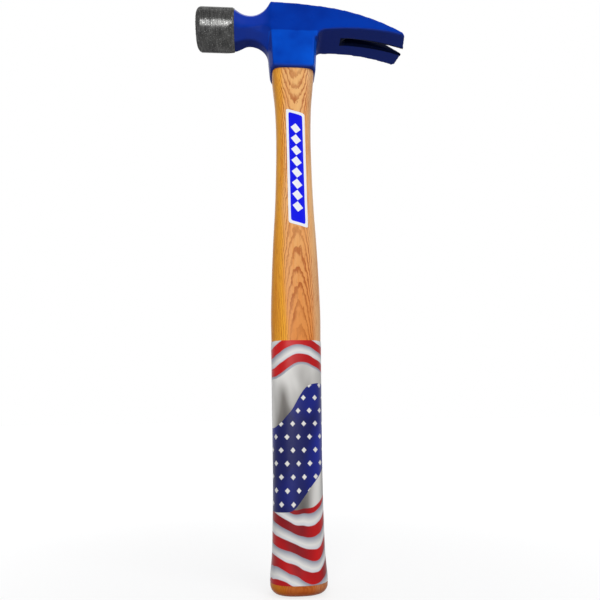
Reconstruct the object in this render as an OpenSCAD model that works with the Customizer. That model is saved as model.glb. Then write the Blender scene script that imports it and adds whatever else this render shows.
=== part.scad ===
// Framing hammer: forged rip-claw head with a milled face, wedged on a hickory handle.
// The handle stands along Z with the middle of its butt end at the origin. The striking
// face looks along -X, the claw reaches along +X, and both sides of Y = 0 are alike.

/* [Overall] */
// Height from the butt end to the top of the head
overall_l = 432; // [390:1:500]

/* [Eye block] */
// Height of the eye block, from the collar's rim to the top
block_h = 58; // [56:0.5:62]
// Length of the eye block along the head
block_l = 38.4; // [38:0.2:40]
// Thickness of the eye block at the collar
block_w = 30; // [29.6:0.2:32]
// Thickness of the eye block at its top
top_w = 27.4; // [27:0.2:28.4]
// Height of the sloping cheeks, from the top down to the upright collar
cheek_h = 26.6; // [24:0.2:29]
// How far the top's front edge lies behind the end of the block
apex_in = 1.6; // [1:0.1:4]
// How far the ends of the collar draw in at the rim
rim_draw = 1.4; // [0.4:0.1:1.6]
// Corner cut of the collar at the rim, measured along the head
corner_x = 3.8; // [2.8:0.2:4.8]
// Corner cut of the collar at the rim, measured across the head
corner_y = 12; // [9:0.2:12.4]
// Corner cut of the collar at the foot of the cheeks, measured along the head
corner_top_x = 2.2; // [1.8:0.1:3]
// Height of the bevel round the rim
rim_bevel_h = 1.6; // [1:0.2:3]
// Depth of the bevel round the rim
rim_bevel_d = 0.8; // [0.4:0.1:1.2]

/* [Poll] */
// Diameter of the poll
poll_d = 33.4; // [31:0.2:34]
// Distance from the handle's axis to the striking face
face_reach = 76.2; // [72:0.2:84]
// Length of the bare poll
poll_l = 28.8; // [26:0.2:30]
// Depth of the poll's top below the top of the head
poll_drop = 0.6; // [0.1:0.1:1]
// Length of the bevel round the striking face
bevel_l = 4.4; // [3:0.2:6]
// Height of the bevel round the striking face
bevel_h = 5.6; // [4:0.2:7]
// Pitch of the milled teeth
tooth_pitch = 2.4; // [1.8:0.1:3.2]
// Depth of the milled teeth
tooth_h = 1; // [0.6:0.1:1.2]
// Width of a tooth's flat tip
tooth_flat = 0.5; // [0.3:0.1:0.8]

/* [Neck] */
// Width of the eight-sided neck across its flats
neck_d = 21.4; // [19:0.2:23]
// Distance from the handle's axis to the thinnest part of the neck
neck_reach = 33.8; // [32.4:0.2:35]
// How far the neck's lower facets run into the poll
neck_run = 10.6; // [8:0.2:12.6]
// Radius of the sweep from the neck down to the collar
sweep_r = 15; // [13:0.5:18]

/* [Claw] */
// Distance from the handle's axis to the claw's tips
tip_reach = 89.8; // [86:0.2:98]
// Width of the claw at its tips
claw_tip_w = 37.4; // [34:0.2:40]
// Depth of the claw's tips below the top of the head
claw_drop = 31.8; // [28:0.2:34]
// Depth of the claw's underside below the top of the head, at its highest point
claw_root_h = 24.2; // [22:0.2:26]
// Distance from the handle's axis to the underside's highest point
crest_reach = 41; // [38:0.2:46]
// Thickness of the edge at the tips
claw_edge_t = 1.2; // [0.8:0.1:2]
// How far the outer corners of the tips lie behind the inner ones
tip_rake = 2.8; // [1:0.2:4]
// Radius of the fillet under the claw's root
root_r = 6.4; // [4:0.2:7]

/* [Nail slot] */
// Width of the nail slot at the tips
slot_tip_w = 6.6; // [5.8:0.2:8]
// Width of the nail slot at its closed end
slot_root_w = 4.4; // [3:0.2:5]
// Length of the nail slot
slot_l = 47; // [42:0.5:52]
// Width of the countersink along the slot's underside, at its closed end
slot_sink = 2; // [1:0.1:2.4]
// Depth of the countersink
slot_sink_h = 6; // [4:0.5:8]

/* [Eye] */
// Length of the eye at the rim
eye_l = 32.2; // [31:0.2:32.6]
// Width of the eye at the rim
eye_w = 25; // [24:0.2:25.4]
// How much narrower the eye's waist is than its rim
eye_waist = 8; // [5:0.2:9]
// How much narrower the eye's top is than its rim
eye_flare = 6; // [4:0.2:7]
// Radius of the eye's corners
eye_corner = 7; // [6:0.2:8]

/* [Handle] */
// Width of the handle at the rim, along the head
shoulder_w = 32.8; // [32.4:0.1:33.6]
// Thickness of the handle at the rim
shoulder_t = 25.4; // [25:0.1:26]
// Width of the handle at its thinnest
waist_w = 26.6; // [24:0.2:29]
// Thickness of the handle at its thinnest
waist_t = 21.8; // [20:0.2:24]
// Width of the handle above the grip
swell_w = 35.4; // [33:0.2:38]
// Thickness of the handle above the grip
swell_t = 27.4; // [25:0.2:30]
// Width of the grip
grip_w = 32.8; // [30:0.2:35]
// Thickness of the grip
grip_t = 26.4; // [24:0.2:29]
// Width of the butt
butt_w = 37.4; // [35:0.2:42]
// Thickness of the butt
butt_t = 30; // [27:0.2:34]
// Rounding of the butt's edge
butt_round = 5.6; // [3:0.2:6.4]

/* [Wedges] */
// Depth of the saw kerf in the handle's end
kerf_depth = 42; // [40:0.5:46]
// Width of the saw kerf
kerf_w = 1.4; // [1:0.1:2]
// Thickness of the wooden wedge at its top
wood_wedge_t = 4.8; // [3.6:0.2:6]
// Height of the wooden wedge
wood_wedge_h = 38; // [30:0.5:39]
// Thickness of a steel wedge at its top
steel_wedge_t = 2.6; // [2:0.1:3.2]
// Width of a steel wedge
steel_wedge_w = 15; // [12:0.2:17]
// Height of a steel wedge
steel_wedge_h = 22; // [16:0.5:26]
// Distance between the two steel wedges
steel_wedge_gap = 14; // [11:0.2:17]
// Depth of the handle's end below the top of the head
end_sink = 0.4; // [0.2:0.1:1]
// Depth of the steel wedges below the handle's end
wedge_sink = 0.2; // [0.1:0.1:0.4]

/* [Grip sleeve] */
// Height of the sleeve's lower edge above the butt end
sleeve_low = 7.4; // [6.6:0.1:12]
// Height of the sleeve
sleeve_h = 154.8; // [130:0.2:170]
// Thickness of the shrunk film
sleeve_t = 0.4; // [0.3:0.1:0.8]

/* [Label] */
// Height of the label's middle above the butt end
label_mid = 292; // [260:0.5:300]
// Height of the label
label_h = 91.8; // [60:0.2:95]
// Width of the label
label_w = 14; // [10:0.2:15]
// Slant of the label's ends
label_slant = 4; // [1:0.2:6]
// How far the label sits off the handle's middle, towards the claw
label_off = 1.6; // [0.5:0.1:2.4]
// How far the label's top leans towards the striking face, against its bottom
label_lean = 1.2; // [0:0.1:2]
// Thickness of the label
label_t = 0.15; // [0.1:0.05:0.3]

/* [Hidden] */

// Numbers of sides and steps of the curved forms
arc_steps = 14;
curve_steps = 24;
round_steps = 5;
round_sides = 96;
ring_sides = 48;

// Overrun of every cut, and the gaps between fitted pieces
cut_over = 1;
fit_gap = 0.05;
film_gap = 0.03;

// How fast the head's top falls away, and the angle between two sides of the neck
top_power = 2.45;
facet_turn = 45;

// The place of the eye's waist, the place and the depth of the bevel's ridge, a steel wedge's tip,
// and the rounded part of the neck's lower facets
waist_share = 0.45;
bevel_share = 0.5;
ridge_share = 0.25;
wedge_tip_share = 0.25;
bend_share = 0.8;

paint_blue = [0.03, 0.16, 0.62];
hickory = [0.85, 0.60, 0.32];
wedge_wood = [0.72, 0.48, 0.26];
wedge_steel = [0.62, 0.63, 0.65];
film_white = [0.86, 0.86, 0.88];
label_blue = [0.04, 0.05, 0.80];

// Places that the head's pieces share
top_z = overall_l;
rim_z = top_z - block_h;
cheek_z = top_z - cheek_h;
crest_z = top_z - claw_root_h;
half_l = block_l / 2;
half_w = block_w / 2;
apex_x = -half_l + apex_in;
cheek_lean = atan((block_w - top_w) / 2 / cheek_h);
poll_r = poll_d / 2;
poll_z = top_z - poll_drop - poll_r;
poll_back_x = -face_reach + poll_l;
neck_r = neck_d / 2;
neck_flat = neck_r * tan(facet_turn / 2);
neck_start_x = poll_back_x - neck_run - cut_over;
sweep_z = poll_z - neck_r - sweep_r;
side_h = half_w - (poll_z - cheek_z) * tan(cheek_lean) - fit_gap;
wide = 2 * (block_l + tip_reach);

// Points of an arc from angle a0 to angle a1, in degrees
function arc(cx, cy, r, a0, a1, n = arc_steps) =
    [for (i = [0:n]) let (a = a0 + (a1 - a0) * i / n) [cx + r * cos(a), cy + r * sin(a)]];

// Radius and angle of an arc that leaves a level point and rises by h over a run of l
function rise_r(l, h) = (l * l + h * h) / (2 * h);
function rise_a(l, h) = asin(l / rise_r(l, h));

// The top line of the head: level above the neck, falling faster towards the tips
function top_share(x) = max(x - apex_x, 0) / (tip_reach - apex_x);
function top_at(x) = top_z - (claw_drop - claw_edge_t) * pow(top_share(x), top_power);
function top_line(x0, x1, sink = 0) =
    [for (i = [0:curve_steps]) let (x = x0 + (x1 - x0) * i / curve_steps) [x, top_at(x) - sink]];

// An outline in the XZ plane, run right across the head, and one in YZ run along it
module across() { rotate([90, 0, 0]) linear_extrude(height = wide, center = true) children(); }
module along() { rotate([90, 0, 90]) linear_extrude(height = wide, center = true) children(); }

// Everything on the inner side of a plane through a place, turned about Z and leaning
module inner_side(place, turn, lean) {
    translate(place) rotate([0, 0, turn]) rotate([lean, 0, 0])
        translate([-wide, -wide, -wide]) cube([2 * wide, wide, 2 * wide]);
}
module both_sides() { intersection() { children(); mirror([0, 1, 0]) children(); } }
module both_ends() { intersection() { children(); mirror([1, 0, 0]) children(); } }

// One concave side of the neck: half-heights from the poll, or from a run inside it, to the eye
// block. A bend is the share of the way from the poll that is rounded outwards.
function neck_side(end_h, run, bend) = let (
        l = -neck_reach - poll_back_x + run,
        h = poll_r - neck_r,
        bend_r = rise_r(l, h) * bend,
        l0 = l * (1 - bend),
        h0 = h * (1 - bend),
        l1 = neck_reach + apex_x,
        h1 = end_h - neck_r)
    concat(bend > 0 ? arc(poll_back_x - run, poll_r - bend_r, bend_r, 90, 90 - rise_a(l, h)) : [],
        arc(-neck_reach, neck_r + rise_r(l0, h0), rise_r(l0, h0), 270 - rise_a(l0, h0), 270),
        h1 > 0 ? arc(-neck_reach, neck_r + rise_r(l1, h1), rise_r(l1, h1), 270, 270 + rise_a(l1, h1)) : [],
        [[apex_x + cut_over, end_h]]);

// A slab whose two faces follow the neck's sides, turned about the poll's axis
module neck_slab(turn, up_h, down_h, down_run, bend) {
    lower = neck_side(down_h, down_run, bend);
    n = len(lower);
    translate([0, 0, poll_z]) rotate([turn, 0, 0]) across()
        polygon(concat([[neck_start_x, poll_r]], neck_side(up_h, 0, 0),
            [for (i = [1:n]) [lower[n - i][0], -lower[n - i][1]]], [[neck_start_x, -poll_r]]));
}

// The eight-sided neck, which runs out into the round poll and opens towards the eye block
module neck() {
    corner_h = (top_w / 2 + top_z - poll_z) * cos(facet_turn);
    intersection() {
        neck_slab(0, top_z - poll_z, neck_r, neck_run, bend_share);
        neck_slab(2 * facet_turn, side_h, side_h, 0, 0);
        neck_slab(facet_turn, corner_h, neck_r, neck_run, bend_share);
        neck_slab(-facet_turn, corner_h, neck_r, neck_run, bend_share);
        translate([neck_start_x, 0, poll_z]) rotate([0, 90, 0]) union() {
            cylinder(h = face_reach, r = poll_r, $fn = round_sides);
            translate([0, 0, -neck_reach - neck_start_x])
                cylinder(h = neck_reach, r = wide, $fn = round_sides);
        }
    }
}

// The sweep that carries the neck's lower facets down into the collar's corners
module neck_sweep() {
    cut = half_w - neck_flat;
    reach = sweep_r + block_l;
    intersection() {
        translate([-half_l - sweep_r, 0, sweep_z]) intersection() {
            rotate([90, 0, 0]) rotate_extrude($fn = round_sides)
                polygon([[sweep_r, -neck_flat], [sweep_r + cut, -half_w], [reach, -half_w],
                    [reach, half_w], [sweep_r + cut, half_w], [sweep_r, neck_flat]]);
            translate([0, -block_w, 0]) cube([reach, 2 * block_w, sweep_r + neck_r]);
        }
        neck_slab(2 * facet_turn, side_h, side_h, 0, 0);
    }
}

// The poll, up to where the neck begins: a cylinder with a rounded bevel at the striking face
module poll() {
    back_l = poll_l - neck_run + fit_gap;
    translate([-face_reach, 0, poll_z]) rotate([0, 90, 0]) rotate_extrude($fn = round_sides)
        polygon([[0, 0], [poll_r - bevel_h, 0], [poll_r - bevel_h * ridge_share, bevel_l * bevel_share],
            [poll_r, bevel_l], [poll_r, back_l], [0, back_l]]);
}

// The grooves between the rows of teeth, cut into the striking face both ways
tooth_rows = ceil(poll_d / tooth_pitch / 2);
groove_half = (tooth_pitch - tooth_flat) / 2;
groove_mouth = groove_half * (1 + cut_over / tooth_h);
module grooves() {
    for (i = [-tooth_rows:tooth_rows - 1])
        translate([0, (i + 0.5) * tooth_pitch, 0]) linear_extrude(height = 2 * poll_d, center = true)
            polygon([[-cut_over, -groove_mouth], [tooth_h, 0], [-cut_over, groove_mouth]]);
}
module waffle() {
    translate([-face_reach, 0, poll_z]) {
        grooves();
        rotate([90, 0, 0]) grooves();
    }
}

// The eye block: an upright collar with leaning corners and a bevelled rim, and sloping cheeks
module eye_block() {
    corner_turn = atan(corner_y / corner_x);
    corner_lean = atan((corner_x - corner_top_x) * sin(corner_turn) / (cheek_z - rim_z));
    bevel_lean = -atan(rim_bevel_d / rim_bevel_h);
    bevel_x = half_l - corner_x - rim_bevel_d / sin(corner_turn);
    intersection() {
        across() polygon(concat([[-half_l + rim_draw, rim_z], [-half_l, sweep_z], [-half_l, poll_z]],
            top_line(apex_x, half_l), [[half_l, cheek_z], [half_l - rim_draw, rim_z]]));
        both_sides() inner_side([0, half_w, cheek_z], 0, 0);
        both_sides() inner_side([0, half_w, cheek_z], 0, cheek_lean);
        both_sides() both_ends() inner_side([half_l - corner_x, half_w, rim_z], -corner_turn, -corner_lean);
        both_sides() inner_side([0, half_w - rim_bevel_d, rim_z], 0, bevel_lean);
        both_ends() inner_side([half_l - rim_draw - rim_bevel_d, 0, rim_z], -90, bevel_lean);
        both_sides() both_ends() inner_side([bevel_x, half_w, rim_z], -corner_turn, bevel_lean);
    }
}

// Side outline of the claw: the falling top, a thin edge, an arched underside and a fillet
module claw_side() {
    tip_run = tip_reach - crest_reach;
    tip_fall = claw_drop - claw_root_h;
    low_r = rise_r(tip_run, tip_fall);
    back_run = crest_reach - half_l - root_r;
    root_z = crest_z - low_r + sqrt(low_r * low_r - back_run * back_run);
    polygon(concat(top_line(0, tip_reach),
        arc(crest_reach, crest_z - low_r, low_r, 90 - rise_a(tip_run, tip_fall), 90 + asin(back_run / low_r)),
        arc(half_l + root_r, root_z - root_r, root_r, 90, 180, round_steps), [[0, root_z - root_r]]));
}

// The claw: its sides go on from the cheeks and splay out to raked tips
module claw() {
    root_x = half_l - corner_top_x;
    splay = atan((claw_tip_w / 2 - half_w) / (tip_reach - tip_rake - root_x));
    rake = atan(2 * tip_rake / (claw_tip_w - slot_tip_w));
    intersection() {
        across() claw_side();
        both_sides() inner_side([root_x, half_w, cheek_z], splay, cheek_lean);
        both_sides() inner_side([tip_reach, slot_tip_w / 2, top_z], rake - 90, 0);
    }
}

// The nail slot: a tapered cut with a round end, and a countersink that narrows towards the tips
slot_x = tip_reach - slot_l;
module nail_slot() {
    sink_half = slot_root_w / 2 + slot_sink;
    sink_slope = slot_sink / slot_sink_h;
    sink_loss = sink_half + (claw_drop - claw_root_h) * sink_slope - slot_tip_w / 2;
    translate([0, 0, rim_z]) linear_extrude(height = block_h + cut_over) {
        polygon([[slot_x, -slot_root_w / 2], [tip_reach + cut_over, -slot_tip_w / 2],
            [tip_reach + cut_over, slot_tip_w / 2], [slot_x, slot_root_w / 2]]);
        translate([slot_x, 0]) circle(d = slot_root_w, $fn = round_sides);
    }
    intersection() {
        both_sides() inner_side([slot_x, sink_half, crest_z], -atan(sink_loss / slot_l), atan(sink_slope));
        translate([slot_x, -block_w, rim_z]) cube([slot_l + cut_over, 2 * block_w, block_h]);
    }
}

// Half of the eye's length or width at a height: narrow at its waist, wider at both ends
waist_z = rim_z + block_h * waist_share;
function eye_half(size, z) = (z < waist_z
    ? size - eye_waist * (z - rim_z) / (waist_z - rim_z)
    : size - eye_waist + (eye_waist - eye_flare) * (z - waist_z) / (top_z - waist_z)) / 2;

// The plug that fills the eye, from below its waist up to a height, smaller all round by a gap
module plug_sides(size, gap, z0, z1) {
    polygon([[gap - eye_half(size, z0), z0], [eye_half(size, z0) - gap, z0],
        [eye_half(size, waist_z) - gap, waist_z], [eye_half(size, z1) - gap, z1],
        [gap - eye_half(size, z1), z1], [gap - eye_half(size, waist_z), waist_z]]);
}
module eye_column(gap) {
    r = eye_corner - gap;
    x = eye_l / 2 - eye_corner;
    y = eye_w / 2 - eye_corner;
    polygon(concat(arc(x, y, r, 0, 90, round_steps), arc(-x, y, r, 90, 180, round_steps),
        arc(-x, -y, r, 180, 270, round_steps), arc(x, -y, r, 270, 360, round_steps)));
}
module eye_plug(gap, z0, z1) {
    intersection() {
        across() plug_sides(eye_l, gap, z0, z1);
        along() plug_sides(eye_w, gap, z0, z1);
        translate([0, 0, z0]) linear_extrude(height = z1 - z0) eye_column(gap);
    }
}

module head() {
    color(paint_blue) difference() {
        union() {
            poll();
            neck();
            neck_sweep();
            eye_block();
            claw();
        }
        eye_plug(0, rim_z - cut_over, top_z + cut_over);
        nail_slot();
        waffle();
    }
}

// Stations up the handle: the share of its height, then how its section is shared between
// the butt, the grip, the swell, the waist and the shoulder
station_shares = [
    [0, 1, 0, 0, 0, 0],
    [0.015, 1, 0, 0, 0, 0],
    [0.06, 0.33, 0.67, 0, 0, 0],
    [0.12, 0.08, 0.92, 0, 0, 0],
    [0.16, 0, 1, 0, 0, 0],
    [0.29, 0, 0.75, 0.25, 0, 0],
    [0.40, 0, 0.45, 0.55, 0, 0],
    [0.48, 0, 0, 1, 0, 0],
    [0.56, 0, 0, 0.85, 0.15, 0],
    [0.635, 0, 0, 0.58, 0.42, 0],
    [0.71, 0, 0, 0.24, 0.76, 0],
    [0.79, 0, 0, 0.05, 0.95, 0],
    [0.86, 0, 0, 0, 1, 0],
    [0.925, 0, 0, 0, 0.75, 0.25],
    [0.98, 0, 0, 0, 0.15, 0.85],
    [1, 0, 0, 0, 0, 1]];
body_h = rim_z - fit_gap;
last = len(station_shares) - 1;
section_widths = [butt_w, grip_w, swell_w, waist_w, shoulder_w];
section_thicks = [butt_t, grip_t, swell_t, waist_t, shoulder_t];
section_powers = [2.5, 2.5, 2.6, 2.9, 3.8];

// A section's value at a station, its slope there, and the smooth value at any share
function station(i) = station_shares[i];
function value(v, i) = [for (k = [1:5]) station(i)[k]] * v;
function slope(v, i) = i == 0 || i == last ? 0
    : (value(v, i + 1) - value(v, i - 1)) / (station(i + 1)[0] - station(i - 1)[0]);
function span(s) = max([for (i = [0:last - 1]) if (s >= station(i)[0]) i]);
function smooth(v, s) = let (
        i = span(s),
        l = station(i + 1)[0] - station(i)[0],
        t = (s - station(i)[0]) / l)
    (2 * t ^ 3 - 3 * t ^ 2 + 1) * value(v, i) + (t ^ 3 - 2 * t ^ 2 + t) * l * slope(v, i)
    + (3 * t ^ 2 - 2 * t ^ 3) * value(v, i + 1) + (t ^ 3 - t ^ 2) * l * slope(v, i + 1);

// One ring of the handle at a height, drawn in by the butt's rounding and grown by a film
function bulge(v, n) = sign(v) * pow(abs(v), 2 / n);
function ring(z, draw, grow) = let (
        s = max(z, 0) / body_h,
        n = smooth(section_powers, s),
        w = smooth(section_widths, s) / 2 - draw + grow,
        t = smooth(section_thicks, s) / 2 - draw + grow)
    [for (k = [0:ring_sides - 1]) let (a = 360 * (k + 0.5) / ring_sides)
        [w * bulge(cos(a), n), t * bulge(sin(a), n), z]];

// The rings: one below the butt, a round edge, then even steps up to the rim
ring_step = 9.5;
ring_count = ceil(body_h / ring_step);
function all_rings(grow) = concat(
    [ring(-cut_over, butt_round, grow)],
    [for (i = [0:round_steps]) let (a = 90 * i / round_steps)
        ring(butt_round * (1 - cos(a)), butt_round * (1 - sin(a)), grow)],
    [for (i = [1:ring_count]) ring(butt_round + (body_h - butt_round) * i / ring_count, 0, grow)]);

// A closed skin of triangles over the rings between two heights
module skin(grow, z0, z1) {
    reach = 2 * body_h / ring_count;
    rings = [for (r = all_rings(grow)) if (r[0][2] > z0 - reach && r[0][2] < z1 + reach) r];
    n = ring_sides;
    m = len(rings);
    points = concat([for (r = rings) each r], [[0, 0, rings[0][0][2]], [0, 0, rings[m - 1][0][2]]]);
    walls = [for (j = [0:m - 2]) for (k = [0:n - 1]) each
        [[j * n + k, (j + 1) * n + k, (j + 1) * n + (k + 1) % n],
         [j * n + k, (j + 1) * n + (k + 1) % n, j * n + (k + 1) % n]]];
    low_cap = [for (k = [0:n - 1]) [m * n, k, (k + 1) % n]];
    top_cap = [for (k = [0:n - 1]) [m * n + 1, (m - 1) * n + (k + 1) % n, (m - 1) * n + k]];
    polyhedron(points = points, faces = concat(walls, low_cap, top_cap), convexity = 4);
}
module slice(z0, z1) { translate([-wide, -wide, z0]) cube([2 * wide, 2 * wide, z1 - z0]); }

// The wedges stand in the handle's end, which is dressed off along the head's top line
module under_top(sink) {
    low_z = top_z - block_h - kerf_depth;
    across() polygon(concat([[-half_l, low_z], [-half_l, top_z - sink]],
        top_line(apex_x, half_l, sink), [[half_l, low_z]]));
}
module wood_wedge_blank() {
    low_z = top_z - wood_wedge_h;
    along() polygon([[-kerf_w / 2, low_z], [-wood_wedge_t / 2, top_z],
        [wood_wedge_t / 2, top_z], [kerf_w / 2, low_z]]);
}
module kerf() {
    translate([-half_l, -kerf_w / 2, top_z - kerf_depth]) cube([block_l, kerf_w, kerf_depth - wood_wedge_h]);
}
module steel_wedge_blank(x) {
    tip = steel_wedge_t * wedge_tip_share / 2;
    translate([x, 0, 0]) rotate([90, 0, 0]) linear_extrude(height = steel_wedge_w, center = true)
        polygon([[-tip, top_z - steel_wedge_h], [-steel_wedge_t / 2, top_z],
            [steel_wedge_t / 2, top_z], [tip, top_z - steel_wedge_h]]);
}

module handle() {
    color(hickory) difference() {
        union() {
            intersection() {
                skin(0, 0, body_h);
                slice(0, top_z);
            }
            intersection() {
                eye_plug(fit_gap, body_h - fit_gap, top_z);
                under_top(end_sink);
            }
        }
        wood_wedge_blank();
        kerf();
        for (side = [-1, 1]) steel_wedge_blank(side * steel_wedge_gap / 2);
    }
}

module wood_wedge() {
    color(wedge_wood) difference() {
        intersection() {
            wood_wedge_blank();
            eye_plug(fit_gap, rim_z, top_z);
            under_top(end_sink);
        }
        for (side = [-1, 1]) steel_wedge_blank(side * steel_wedge_gap / 2);
    }
}

module steel_wedge(side) {
    color(wedge_steel) intersection() {
        steel_wedge_blank(side * steel_wedge_gap / 2);
        under_top(end_sink + wedge_sink);
    }
}

module grip_sleeve() {
    color(film_white) difference() {
        intersection() {
            skin(film_gap + sleeve_t, sleeve_low, sleeve_low + sleeve_h);
            slice(sleeve_low, sleeve_low + sleeve_h);
        }
        skin(film_gap, sleeve_low, sleeve_low + sleeve_h);
    }
}

module label() {
    low_z = label_mid - (label_h + label_slant) / 2;
    high_z = label_mid + (label_h + label_slant) / 2;
    half = label_w / 2;
    lean = label_lean / 2;
    color(label_blue) difference() {
        intersection() {
            skin(film_gap + label_t, low_z, high_z);
            translate([label_off, 0, 0]) rotate([90, 0, 0]) linear_extrude(height = wide)
                polygon([[-half + lean, low_z + label_slant], [half + lean, low_z],
                    [half - lean, high_z - label_slant], [-half - lean, high_z]]);
        }
        skin(film_gap, low_z, high_z);
    }
}

head();
handle();
wood_wedge();
steel_wedge(-1);  // steel_wedge_front
steel_wedge(1);  // steel_wedge_back
grip_sleeve();
label();
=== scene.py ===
"""Framing hammer: the looks of its forged head, hickory handle, wedges, label and grip sleeve.

Lengths are in metres, in the frame of the solid model: the handle stands along Z, the striking
face looks along -X and both sides of Y = 0 are alike.
"""

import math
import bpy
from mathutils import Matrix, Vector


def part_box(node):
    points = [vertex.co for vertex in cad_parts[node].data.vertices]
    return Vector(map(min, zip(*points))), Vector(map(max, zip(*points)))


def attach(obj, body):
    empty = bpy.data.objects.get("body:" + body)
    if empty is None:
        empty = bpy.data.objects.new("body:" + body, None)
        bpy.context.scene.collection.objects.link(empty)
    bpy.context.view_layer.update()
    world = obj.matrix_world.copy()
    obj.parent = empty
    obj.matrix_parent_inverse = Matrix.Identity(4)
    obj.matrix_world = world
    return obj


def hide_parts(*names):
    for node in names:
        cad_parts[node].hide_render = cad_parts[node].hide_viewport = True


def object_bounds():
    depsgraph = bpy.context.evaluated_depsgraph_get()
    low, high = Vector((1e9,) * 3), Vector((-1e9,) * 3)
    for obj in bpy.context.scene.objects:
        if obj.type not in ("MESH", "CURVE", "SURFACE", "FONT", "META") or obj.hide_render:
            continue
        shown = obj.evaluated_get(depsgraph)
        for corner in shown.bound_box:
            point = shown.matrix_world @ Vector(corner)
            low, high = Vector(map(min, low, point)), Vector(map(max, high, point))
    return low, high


bl_info = {
    "name": "Framing Hammer",
    "version": (1, 0, 0),
    "blender": (4, 5, 0),
    "location": "View3D > Sidebar > Hammer",
    "description": "Dresses the solid model of a framing hammer",
    "category": "Add Mesh",
}

import bmesh
import bpy
from bpy.props import FloatProperty, FloatVectorProperty, PointerProperty
from mathutils import Matrix, Vector

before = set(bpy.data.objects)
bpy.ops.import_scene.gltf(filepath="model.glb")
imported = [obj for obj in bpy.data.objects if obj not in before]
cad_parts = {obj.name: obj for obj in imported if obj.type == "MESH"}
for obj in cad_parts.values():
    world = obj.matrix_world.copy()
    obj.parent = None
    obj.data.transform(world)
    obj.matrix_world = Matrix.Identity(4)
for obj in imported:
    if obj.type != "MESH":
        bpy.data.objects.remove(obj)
cad_low, cad_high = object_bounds()
head_low, head_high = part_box("head")
sleeve_low, sleeve_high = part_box("grip_sleeve")
label_low, label_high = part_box("label")

MM = 0.001
TOP_Z = head_high.z
RIM_Z = head_low.z
TIP_X = head_high.x
FACE_X = head_low.x

# Points of a cut that lie closer than this are one point
MERGE = 1e-7
# How far a cutting tool reaches past what it cuts
OVER = 1 * MM
# The clearance between the handle and the head
FIT_GAP = 0.05 * MM
# The power by which the head's top line falls
TOP_POWER = 2.45
# The share of the neck's lower arcs that bends back into the poll
BEND_SHARE = 0.8
# How far the neck's sides stay inside the cheeks
NECK_SINK = 0.1 * MM
# How far the neck's skin runs on under the poll's steel, and into the block
NECK_UNDER, NECK_INTO = 4 * MM, 1.5 * MM
# How far the sweep's skin runs on into the block, in two steps
SWEEP_INTO = 2 * MM, 4 * MM
# How much smaller the ring is that closes the poll inside the neck
POLL_PLUG = 6 * MM
# Rounds of smoothing that give the forging its soft edges
SOFT_ROUNDS = 7
# The power of the eye's section, and the share of its height at which it is narrowest
EYE_POWER, EYE_WAIST_AT = 5, 0.45
# Heights of the tenon's rings above the rim
TENON = (13 * MM, 26 * MM, 42 * MM)
# A steel wedge's half thickness at its tip, as a share of its thickness at the top
STEEL_TIP = 1 / 8
# The pitch of the hickory's growth rings, the place of their centre, and the height of their bow
RING_PITCH = 0.85 * MM
RING_X, RING_Y, RING_Z = 2.5 * MM, -46 * MM, 292 * MM
# The share of the film's thickness at the sleeve's ends
SLEEVE_EDGE = 0.6
# The sleeve's print: its width once round the grip, and the width of an edge of its ink
PRINT_SPAN = 100 * MM
INK_EDGE = 0.3 * MM
# Its waves lie below the first height and above the second one; they sway, and folds shift them
WAVES_BELOW, WAVES_ABOVE = 62 * MM, 148 * MM
WAVE_SWAY, FOLD_SHIFT = 4.5 * MM, 14 * MM
# Its navy band: middle, half height, and how far it rises and falls round the grip
BAND_MID, BAND_HALF, BAND_RISE = 96 * MM, 31 * MM, 14 * MM
# How much wider the label's border is above and below, and how many lozenges it has
BORDER_ENDS, LOZENGES = 1.3, 8
# The strength of the world's soft light
WORLD_LIGHT = 0.35
# Half the floor's width, and its distance below the hammer
FLOOR_HALF, FLOOR_GAP = 6, 0.2 * MM
# The height that the lamps look at, as a share of the hammer's
AIM_SHARE = 0.6
# The lamps: place, width, height and power
LAMPS = {
    "front_lamp": ((-0.25, -1.3, 0.40), 0.5, 0.66, 8.8),
    "key_lamp": ((0.84, -1.0, 1.18), 1.0, 1.0, 8),
    "top_lamp": ((-0.2, 0.2, 1.5), 1.0, 0.8, 3),
    "left_lamp": ((-1.3, -0.3, 0.6), 0.6, 1.2, 0.5),
    "back_lamp": ((0.3, 1.4, 0.9), 1.2, 0.8, 3),
}
# The camera: its place, its axes to the right, up and back, its lens and the width of its sensor
CAMERA_PLACE = (-0.02292, -0.37564, 0.11358)
CAMERA_AXES = ((0.99767, -0.06681, -0.01429), (0.00011, -0.20762, 0.97821),
               (-0.06832, -0.97593, -0.20712))
LENS, SENSOR = 31.85, 36


# Settings

def length(mm, name, text):
    """A length that a user may change, given here in millimetres."""
    return FloatProperty(name=name, description=text, default=mm * MM, precision=4, unit="LENGTH")


def colour(red, green, blue, name, text):
    """A colour that a user may change, given here as it looks on a screen, 0 to 255."""
    return FloatVectorProperty(name=name, description=text, subtype="COLOR", size=3, min=0, max=1,
                               default=screen(red, green, blue))


def screen(red, green, blue):
    """The linear colour of a screen colour, 0 to 255."""
    return tuple(c / 255 / 12.92 if c <= 10 else ((c / 255 + 0.055) / 1.055) ** 2.4
                 for c in (red, green, blue))


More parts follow.
